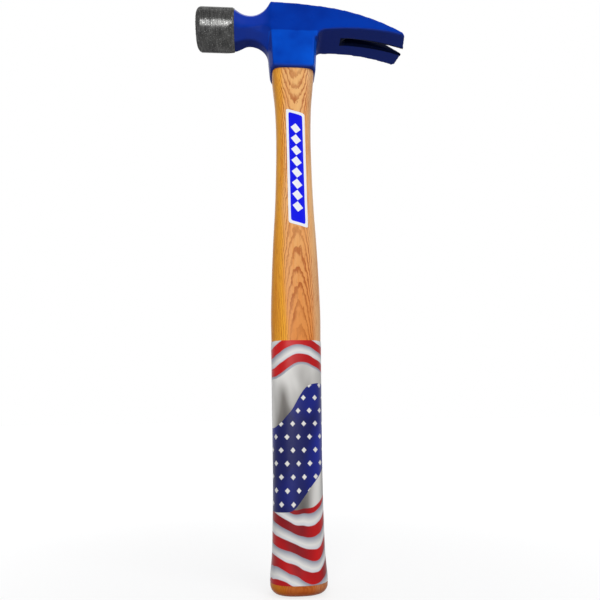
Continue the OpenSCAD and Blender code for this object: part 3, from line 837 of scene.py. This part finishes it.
def block_shell():
    """The eye block: an upright collar with leaning corners and sloping cheeks above it."""
    s = bpy.context.scene.hammer_head
    half_l, half_w = s.block_l / 2, s.block_w / 2
    cheek_z = TOP_Z - s.cheek_h
    sweep_z = poll_centre_z() - s.neck_d / 2 - s.sweep_r
    outline = ([(-half_l + s.rim_draw, RIM_Z), (-half_l, sweep_z), (-half_l, poll_centre_z())]
               + top_line(apex_x(), half_l, 28)
               + [(half_l, cheek_z), (half_l - s.rim_draw, RIM_Z)])
    bm = slab(outline, -half_w, half_w)
    turn = math.atan2(s.corner_y, s.corner_x)
    corner = Vector((half_l - s.corner_x, half_w, RIM_Z))
    lean = math.atan((s.corner_x - s.corner_top_x) * math.sin(turn) / (cheek_z - RIM_Z))
    bevel = math.atan(s.rim_bevel_d / s.rim_bevel_h)
    for sy in (-1, 1):
        plane_cut(bm, (0, sy * half_w, cheek_z), tilted(0, sy, math.atan(cheek_slope())))
        plane_cut(bm, (0, sy * (half_w - s.rim_bevel_d), RIM_Z), tilted(0, sy, -bevel))
        for sx in (-1, 1):
            flat = (sx * math.sin(turn), sy * math.cos(turn))
            inner_x = corner.x - s.rim_bevel_d / math.sin(turn)
            plane_cut(bm, (sx * corner.x, sy * corner.y, corner.z), tilted(*flat, -lean))
            plane_cut(bm, (sx * inner_x, sy * corner.y, corner.z), tilted(*flat, -bevel))
    for sx in (-1, 1):
        plane_cut(bm, (sx * (half_l - s.rim_draw - s.rim_bevel_d), 0, RIM_Z), tilted(sx, 0, -bevel))
    return bm


def claw_shell():
    """The claw: its sides go on from the cheeks and splay out to raked tips."""
    s = bpy.context.scene.hammer_head
    half_l, half_w = s.block_l / 2, s.block_w / 2
    crest_z, tip_x = TOP_Z - s.claw_root_h, TIP_X + s.claw_grow
    low_r, low_a = rise(TIP_X - s.crest_reach, s.claw_drop - s.claw_root_h)
    back = s.crest_reach - half_l - s.root_r
    root_z = crest_z - low_r + math.sqrt(low_r ** 2 - back ** 2)
    outline = (top_line(0, tip_x, 40)
               + [(tip_x, TOP_Z - s.claw_drop - s.claw_grow / 2)]
               + arc(s.crest_reach, crest_z - low_r, low_r, 90 - low_a,
                     90 + math.degrees(math.asin(back / low_r)), 24)[1:]
               + arc(half_l + s.root_r, root_z - s.root_r, s.root_r, 90, 180, 8)
               + [(0, root_z - s.root_r)])
    bm = slab(outline, -s.claw_tip_w, s.claw_tip_w)
    root_x = half_l - s.corner_top_x
    rake = math.atan(2 * s.tip_rake / (s.claw_tip_w - s.slot_tip_w))
    chamfer = (rake + math.pi / 2) / 2
    splay = math.atan((s.claw_tip_w / 2 + s.side_grow - half_w) / (TIP_X - s.tip_rake - root_x))
    for sy in (-1, 1):
        plane_cut(bm, (root_x, sy * half_w, TOP_Z - s.cheek_h),
                  tilted(-math.sin(splay), sy * math.cos(splay), math.atan(cheek_slope())))
        plane_cut(bm, (tip_x, sy * s.slot_tip_w / 2, TOP_Z),
                  tilted(math.cos(rake), sy * math.sin(rake), 0))
        plane_cut(bm, (TIP_X - s.tip_rake - s.tip_round, sy * s.claw_tip_w / 2, TOP_Z),
                  tilted(math.cos(chamfer), sy * math.sin(chamfer), 0))
    return bm


def slot_tools():
    """The nail slot's taper with its round end, and the countersink that narrows to the tips."""
    s = bpy.context.scene.hammer_head
    x0, x1 = TIP_X - s.slot_l, TIP_X + 2 * OVER
    r = s.slot_root_w / 2
    outline = arc(x0, 0, r, 90, 270, 14) + [(x1, -s.slot_tip_w / 2), (x1, s.slot_tip_w / 2)]
    taper = prism([(x, y, RIM_Z) for x, y in outline], (0, 0, TOP_Z - RIM_Z + OVER))
    half = r + s.slot_sink
    slope = s.slot_sink / s.slot_sink_h
    loss = half + (s.claw_drop - s.claw_root_h) * slope - s.slot_tip_w / 2
    turn = math.atan(loss / s.slot_l)
    wedge = slab([(x0, RIM_Z), (x1, RIM_Z), (x1, TOP_Z), (x0, TOP_Z)], -s.claw_tip_w, s.claw_tip_w)
    for side in (-1, 1):
        plane_cut(wedge, (x0, side * half, TOP_Z - s.claw_root_h),
                  tilted(math.sin(turn), side * math.cos(turn), math.atan(slope)))
    return taper, wedge


def soften(bm):
    """Rounds every edge of a fine skin, as a hammer forging has them."""
    for _ in range(SOFT_ROUNDS):
        bmesh.ops.smooth_vert(bm, verts=bm.verts, factor=0.5, use_axis_x=True, use_axis_y=True,
                              use_axis_z=True)


def eye_row(z, grow):
    """A ring of the eye or of the tenon in it, at a height."""
    s = bpy.context.scene.hammer_handle
    waist_z = RIM_Z + (TOP_Z - RIM_Z) * EYE_WAIST_AT
    if z < waist_z:
        less = s.eye_waist * (z - RIM_Z) / (waist_z - RIM_Z)
    else:
        less = s.eye_waist + (s.eye_flare - s.eye_waist) * (z - waist_z) / (TOP_Z - waist_z)
    return oval_row((s.eye_l - less) / 2 + grow, (s.eye_w - less) / 2 + grow, EYE_POWER, z)


def oval_row(half_x, half_y, power, z):
    """A ring with flattened sides, from +X round over +Y."""
    def row(turn):
        c, q = math.cos(2 * math.pi * turn), math.sin(2 * math.pi * turn)
        return (half_x * math.copysign(abs(c) ** (2 / power), c),
                half_y * math.copysign(abs(q) ** (2 / power), q), z)
    return row


class HAMMER_OT_forging(bpy.types.Operator):
    """Makes the enamelled forging: neck, eye block and claw in one skin"""
    bl_idname = "hammer.forging"
    bl_label = "Forging"

    def execute(self, context):
        forging = mesh_object(claw_shell(), "forging")
        for tool in slot_tools():
            cut_out(forging, tool)
        bm = mesh_of(forging)
        for shell in (neck_shell(), sweep_shell(), block_shell()):
            merge_into(bm, shell)
        put_back(bm, forging)
        skin = forging.modifiers.new("skin", "REMESH")
        skin.mode = "VOXEL"
        skin.voxel_size = context.scene.hammer_head.grain
        apply_modifiers(forging)
        bm = mesh_of(forging)
        soften(bm)
        put_back(bm, forging)
        heights = (RIM_Z - OVER, RIM_Z, RIM_Z + TENON[1], TOP_Z + OVER)
        cut_out(forging, loft([eye_row(z, 0) for z in heights], 64), "MANIFOLD")
        finish_piece(forging, enamel_material(), "head", 50)
        return {"FINISHED"}


class HAMMER_OT_poll(bpy.types.Operator):
    """Makes the ground poll with its rounded bevel and milled face"""
    bl_idname = "hammer.poll"
    bl_label = "Poll"

    def execute(self, context):
        s = context.scene.hammer_head
        r, z0 = s.poll_d / 2, poll_centre_z()

        def ring(x, radius):
            return lambda turn: ring_point(x, radius, turn)

        rows = []
        for degrees in spread(0, 90, 8):
            a = math.radians(degrees)
            rows.append(ring(FACE_X + s.bevel_l * (1 - math.cos(a)),
                             r - s.bevel_h + s.bevel_h * math.sin(a)))
        neck_x = FACE_X + s.poll_l - s.neck_run
        smooth_l = neck_x - FACE_X - s.bevel_l
        rows += [ring(FACE_X + s.bevel_l + smooth_l * i / 4, r) for i in range(1, 4)]
        rows += [neck_row(x, r) for x in spread(neck_x, s.paint_x, 24)]
        rows.append(ring(FACE_X + s.poll_l, r - POLL_PLUG))
        poll = mesh_object(loft(rows, 128), "poll")
        pitch, depth, far = s.tooth_pitch, s.tooth_h, s.poll_d
        mouth = (pitch - s.tooth_flat) / 2 * (1 + OVER / depth)
        count = math.ceil(s.poll_d / pitch / 2)
        for upright in (True, False):
            tools = bmesh.new()
            for i in range(-count, count):
                mid = (i + 0.5) * pitch
                groove = [(FACE_X - OVER, mid - mouth), (FACE_X + depth, mid),
                          (FACE_X - OVER, mid + mouth)]
                if upright:
                    part = prism([(x, y, z0 - far) for x, y in groove], (0, 0, 2 * far))
                else:
                    part = prism([(x, -far, z0 + z) for x, z in groove], (0, 2 * far, 0))
                merge_into(tools, part)
            cut_out(poll, tools)
        finish_piece(poll, ground_steel_material(True), "head", 32)
        return {"FINISHED"}


# The handle and its films

# The share of the height, then the weights of the butt, grip, swell, waist and shoulder there
STATIONS = (
    (0, 1, 0, 0, 0, 0), (0.015, 1, 0, 0, 0, 0), (0.06, 0.33, 0.67, 0, 0, 0),
    (0.12, 0.08, 0.92, 0, 0, 0), (0.16, 0, 1, 0, 0, 0), (0.29, 0, 0.75, 0.25, 0, 0),
    (0.40, 0, 0.45, 0.55, 0, 0), (0.48, 0, 0, 1, 0, 0), (0.56, 0, 0, 0.85, 0.15, 0),
    (0.635, 0, 0, 0.58, 0.42, 0), (0.71, 0, 0, 0.24, 0.76, 0), (0.79, 0, 0, 0.05, 0.95, 0),
    (0.86, 0, 0, 0, 1, 0), (0.925, 0, 0, 0, 0.75, 0.25), (0.98, 0, 0, 0, 0.15, 0.85),
    (1, 0, 0, 0, 0, 1))
SECTION_POWERS = (2.5, 2.5, 2.6, 2.9, 3.8)


def smooth_at(values, share):
    """A value along the handle, smooth through the stations."""
    last = len(STATIONS) - 1

    def value(i):
        return sum(w * v for w, v in zip(STATIONS[i][1:], values))

    def slope(i):
        if i in (0, last):
            return 0
        return (value(i + 1) - value(i - 1)) / (STATIONS[i + 1][0] - STATIONS[i - 1][0])

    i = max(k for k in range(last) if share >= STATIONS[k][0])
    run = STATIONS[i + 1][0] - STATIONS[i][0]
    t = (share - STATIONS[i][0]) / run
    return ((2 * t ** 3 - 3 * t ** 2 + 1) * value(i) + (t ** 3 - 2 * t ** 2 + t) * run * slope(i)
            + (3 * t ** 2 - 2 * t ** 3) * value(i + 1) + (t ** 3 - t ** 2) * run * slope(i + 1))


def section(z):
    """Half width, half thickness and power of the handle's section at a height."""
    s = bpy.context.scene.hammer_handle
    share = min(max(z, 0) / (RIM_Z - FIT_GAP), 1)
    widths = (s.butt_w, s.grip_w, s.swell_w, s.waist_w, s.shoulder_w)
    thicks = (s.butt_t, s.grip_t, s.swell_t, s.waist_t, s.shoulder_t)
    return (smooth_at(widths, share) / 2, smooth_at(thicks, share) / 2,
            smooth_at(SECTION_POWERS, share))


def handle_row(z, grow=0.0):
    """A ring of the handle at a height, drawn in by the butt's rounding and grown by a film."""
    s = bpy.context.scene.hammer_handle
    w, t, power = section(z)
    draw = 0
    if z < s.butt_round:
        draw = s.butt_round - math.sqrt(s.butt_round ** 2 - (s.butt_round - z) ** 2)
    return oval_row(w - draw + grow, t - draw + grow, power, z)


def wedge_outline(mid, tip, half, height):
    """The outline of a wedge's seat, from its half width at the tip to that at the head's top."""
    low = TOP_Z - height
    return [(mid - tip, low), (mid + tip, low), (mid + half, TOP_Z), (mid - half, TOP_Z)]


class HAMMER_OT_handle(bpy.types.Operator):
    """Makes the handle with its tenon, and cuts the seats of the wedges"""
    bl_idname = "hammer.handle"
    bl_label = "Handle"

    def execute(self, context):
        s = context.scene.hammer_handle
        rim = RIM_Z - FIT_GAP
        rows = [handle_row(s.butt_round * (1 - math.cos(math.radians(a)))) for a in spread(0, 90, 6)]
        rows += [handle_row(z) for z in spread(s.butt_round, rim, 96)[1:]]
        rows += [eye_row(z, -FIT_GAP) for z in (rim, *(RIM_Z + height for height in TENON))]
        top_row = eye_row(TOP_Z - s.end_sink, -FIT_GAP)

        def end_row(turn):
            x, y, _ = top_row(turn)
            return (x, y, top_at(x) - s.end_sink)

        handle = mesh_object(loft(rows + [end_row], 112), "handle_wood")
        far = 40 * MM
        seat = wedge_outline(0, s.kerf_w / 2, s.wood_wedge_t / 2, s.wood_wedge_h)
        cut_out(handle, prism([(-far, y, z) for y, z in seat], (2 * far, 0, 0)))
        thick, half = s.steel_wedge_t, s.steel_wedge_w / 2
        for side in (-1, 1):
            seat = wedge_outline(side * s.steel_wedge_gap / 2, thick * STEEL_TIP, thick / 2,
                                 s.steel_wedge_h)
            cut_out(handle, slab(seat, -half, half))
        finish_piece(handle, hickory_material(), "handle", 40)
        return {"FINISHED"}


class HAMMER_OT_wedges(bpy.types.Operator):
    """Gives the wooden wedge and the two steel wedges their finishes"""
    bl_idname = "hammer.wedges"
    bl_label = "Wedges"

    def execute(self, context):
        wood, steel = wedge_wood_material(), ground_steel_material(False)
        for node, material in (("wood_wedge", wood), ("steel_wedge_front", steel),
                               ("steel_wedge_back", steel)):
            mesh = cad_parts[node].data
            mesh.materials.clear()
            mesh.materials.append(material)
        return {"FINISHED"}


class HAMMER_OT_sleeve(bpy.types.Operator):
    """Makes the shrunk grip sleeve with the map of its print"""
    bl_idname = "hammer.sleeve"
    bl_label = "Grip sleeve"

    def execute(self, context):
        s = context.scene.hammer_films
        low, high = sleeve_low.z, sleeve_high.z
        heights = spread(low, high, 44)
        outer = [handle_row(z, s.film_gap + s.sleeve_t * (SLEEVE_EDGE if z in (low, high) else 1))
                 for z in heights]
        inner = [handle_row(z, s.film_gap) for z in reversed(heights)]
        bm = loft(outer + inner, 120, closed=True)
        uv = bm.loops.layers.uv.new("print")
        for face in bm.faces:
            turns = [math.atan2(loop.vert.co.x, -loop.vert.co.y) / (2 * math.pi)
                     for loop in face.loops]
            wrap = max(turns) - min(turns) > 0.5
            for loop, turn in zip(face.loops, turns):
                loop[uv].uv = ((turn + 1 if wrap and turn < 0 else turn) * PRINT_SPAN, loop.vert.co.z)
        sleeve = mesh_object(bm, "sleeve_film")
        finish_piece(sleeve, sleeve_material(), "grip_sleeve", 60)
        return {"FINISHED"}


class HAMMER_OT_label(bpy.types.Operator):
    """Makes the label, laid on the handle's front"""
    bl_idname = "hammer.label"
    bl_label = "Label"

    def execute(self, context):
        s = context.scene.hammer_films
        half, r = s.label_w / 2, s.label_round
        low, high = label_low.z, label_high.z
        lean = s.label_slant / s.label_w
        tall = high - low - s.label_slant
        corners = []
        for k, (sx, sz) in enumerate(((1, 1), (-1, 1), (-1, -1), (1, -1))):
            corners += arc(sx * (half - r), sz * (tall / 2 - r), r, 90 * k, 90 * (k + 1), 5)
        mid = (low + high) / 2
        tilt = s.label_lean / (high - low)
        bm = outline_face([(s.label_off + x - tilt * (z - lean * x), 0, mid + z - lean * x)
                           for x, z in corners])
        cuts = [((s.label_off - half + s.label_w * i / 12, 0, 0), (1, 0, 0)) for i in range(1, 12)]
        cuts += [((0, 0, z), (0, 0, 1)) for z in spread(low, high, 36)[1:-1]]
        for place, normal in cuts:
            bmesh.ops.bisect_plane(bm, geom=bm.verts[:] + bm.edges[:] + bm.faces[:], dist=MERGE,
                                   plane_co=place, plane_no=normal)
        made = bmesh.ops.extrude_face_region(bm, geom=bm.faces[:])["geom"]
        top = {g for g in made if isinstance(g, bmesh.types.BMVert)}
        for vert in bm.verts:
            w, t, power = section(vert.co.z)
            grow = s.film_gap + (s.label_t if vert in top else 0)
            across = min(abs(vert.co.x) / (w + grow), 1)
            vert.co.y = -(t + grow) * (1 - across ** power) ** (1 / power)
        bmesh.ops.recalc_face_normals(bm, faces=bm.faces)
        label = mesh_object(bm, "label_plate")
        finish_piece(label, label_material(), "label", 50)
        return {"FINISHED"}


# The stage

def looked_at(tree):
    """One where the camera, gloss or glass sees a background, and nothing where it only gives light."""
    path = tree.nodes.new("ShaderNodeLightPath")
    seen = path.outputs["Is Camera Ray"]
    for ray in ("Is Glossy Ray", "Is Transmission Ray"):
        most = tree.nodes.new("ShaderNodeMath")
        most.operation = "MAXIMUM"
        tree.links.new(seen, most.inputs[0])
        tree.links.new(path.outputs[ray], most.inputs[1])
        seen = most.outputs[0]
    return seen


def world_finish(tree):
    """A world that looks white and lights the hammer softly."""
    nodes, links = tree.nodes, tree.links
    soft = nodes["Background"]
    soft.inputs["Color"].default_value = (0.95, 0.97, 1.0, 1)
    soft.inputs["Strength"].default_value = WORLD_LIGHT
    white = nodes.new("ShaderNodeBackground")
    white.inputs["Color"].default_value = (1, 1, 1, 1)
    white.inputs["Strength"].default_value = 1
    mix = nodes.new("ShaderNodeMixShader")
    links.new(looked_at(tree), mix.inputs[0])
    links.new(soft.outputs[0], mix.inputs[1])
    links.new(white.outputs[0], mix.inputs[2])
    links.new(mix.outputs[0], nodes["World Output"].inputs[0])


def floor_finish(tree):
    """A pale floor that keeps the shadow near the hammer and is white to the camera beyond it."""
    nodes, links = tree.nodes, tree.links
    shader = nodes["Principled BSDF"]
    shader.inputs["Base Color"].default_value = (0.25, 0.25, 0.25, 1)
    shader.inputs["Roughness"].default_value = 0.9
    place = nodes.new("ShaderNodeTexCoord")
    far = nodes.new("ShaderNodeVectorMath")
    far.operation = "LENGTH"
    links.new(place.outputs["Object"], far.inputs[0])
    fade = nodes.new("ShaderNodeMapRange")
    fade.interpolation_type = "SMOOTHSTEP"
    for key, value in (("From Min", 0.06), ("From Max", 0.9), ("To Min", 0.72), ("To Max", 1.0)):
        fade.inputs[key].default_value = value
    links.new(far.outputs["Value"], fade.inputs["Value"])
    seen = nodes.new("ShaderNodeMath")
    seen.operation = "MULTIPLY"
    links.new(looked_at(tree), seen.inputs[0])
    links.new(fade.outputs[0], seen.inputs[1])
    white = nodes.new("ShaderNodeEmission")
    links.new(seen.outputs[0], white.inputs["Strength"])
    add = nodes.new("ShaderNodeAddShader")
    links.new(shader.outputs[0], add.inputs[0])
    links.new(white.outputs[0], add.inputs[1])
    links.new(add.outputs[0], nodes["Material Output"].inputs["Surface"])


def softbox(name, place, width, height, power):
    """A rectangular lamp that looks at the hammer."""
    data = bpy.data.lights.new(name, "AREA")
    data.shape = "RECTANGLE"
    data.size, data.size_y = width, height
    data.energy = power
    lamp = bpy.data.objects.new(name, data)
    lamp.location = place
    aim = Vector((0, 0, TOP_Z * AIM_SHARE)) - Vector(place)
    lamp.rotation_euler = aim.to_track_quat("-Z", "Y").to_euler()
    bpy.context.scene.collection.objects.link(lamp)


class HAMMER_OT_stage(bpy.types.Operator):
    """Makes the floor, the lamps, the world and the camera"""
    bl_idname = "hammer.stage"
    bl_label = "Stage"

    def execute(self, context):
        scene = context.scene
        scene.view_settings.view_transform = "Standard"
        bm = bmesh.new()
        bmesh.ops.create_grid(bm, x_segments=1, y_segments=1, size=FLOOR_HALF)
        bmesh.ops.translate(bm, vec=(0, 0, cad_low.z - FLOOR_GAP), verts=bm.verts)
        floor = mesh_object(bm, "floor")
        pale = bpy.data.materials.new("pale_floor")
        pale.use_nodes = True
        floor_finish(pale.node_tree)
        floor.data.materials.append(pale)
        world = bpy.data.worlds.new("studio")
        world.use_nodes = True
        scene.world = world
        world_finish(world.node_tree)
        for name, (place, width, height, power) in LAMPS.items():
            softbox(name, place, width, height, power)
        data = bpy.data.cameras.new("camera")
        data.lens = LENS
        data.sensor_width = SENSOR
        data.clip_start = 0.01
        camera = bpy.data.objects.new("camera", data)
        turn = Matrix(CAMERA_AXES).transposed().to_4x4()
        camera.matrix_world = Matrix.Translation(CAMERA_PLACE) @ turn
        scene.collection.objects.link(camera)
        scene.camera = camera
        return {"FINISHED"}


class HAMMER_PT_panel(bpy.types.Panel):
    """The hammer's pieces and settings"""
    bl_label = "Framing Hammer"
    bl_space_type = "VIEW_3D"
    bl_region_type = "UI"
    bl_category = "Hammer"

    def draw(self, context):
        for operator in STEPS:
            self.layout.operator(operator.bl_idname)
        for name in GROUPS:
            box = self.layout.box()
            group = getattr(context.scene, name)
            box.label(text=name.replace("_", " ").capitalize())
            for key in type(group).__annotations__:
                box.prop(group, key)


STEPS = (HAMMER_OT_forging, HAMMER_OT_poll, HAMMER_OT_handle, HAMMER_OT_wedges, HAMMER_OT_sleeve,
         HAMMER_OT_label, HAMMER_OT_stage)
GROUPS = {"hammer_head": HammerHead, "hammer_handle": HammerHandle, "hammer_films": HammerFilms,
          "hammer_colours": HammerColours}


def register():
    for cls in (*GROUPS.values(), *STEPS, HAMMER_PT_panel):
        bpy.utils.register_class(cls)
    for name, cls in GROUPS.items():
        setattr(bpy.types.Scene, name, PointerProperty(type=cls))


def unregister():
    for name in GROUPS:
        delattr(bpy.types.Scene, name)
    for cls in reversed((*GROUPS.values(), *STEPS, HAMMER_PT_panel)):
        bpy.utils.unregister_class(cls)


def main():
    register()
    for operator in STEPS:
        group, name = operator.bl_idname.split(".")
        getattr(getattr(bpy.ops, group), name)()


if __name__ == "__main__":
    main()
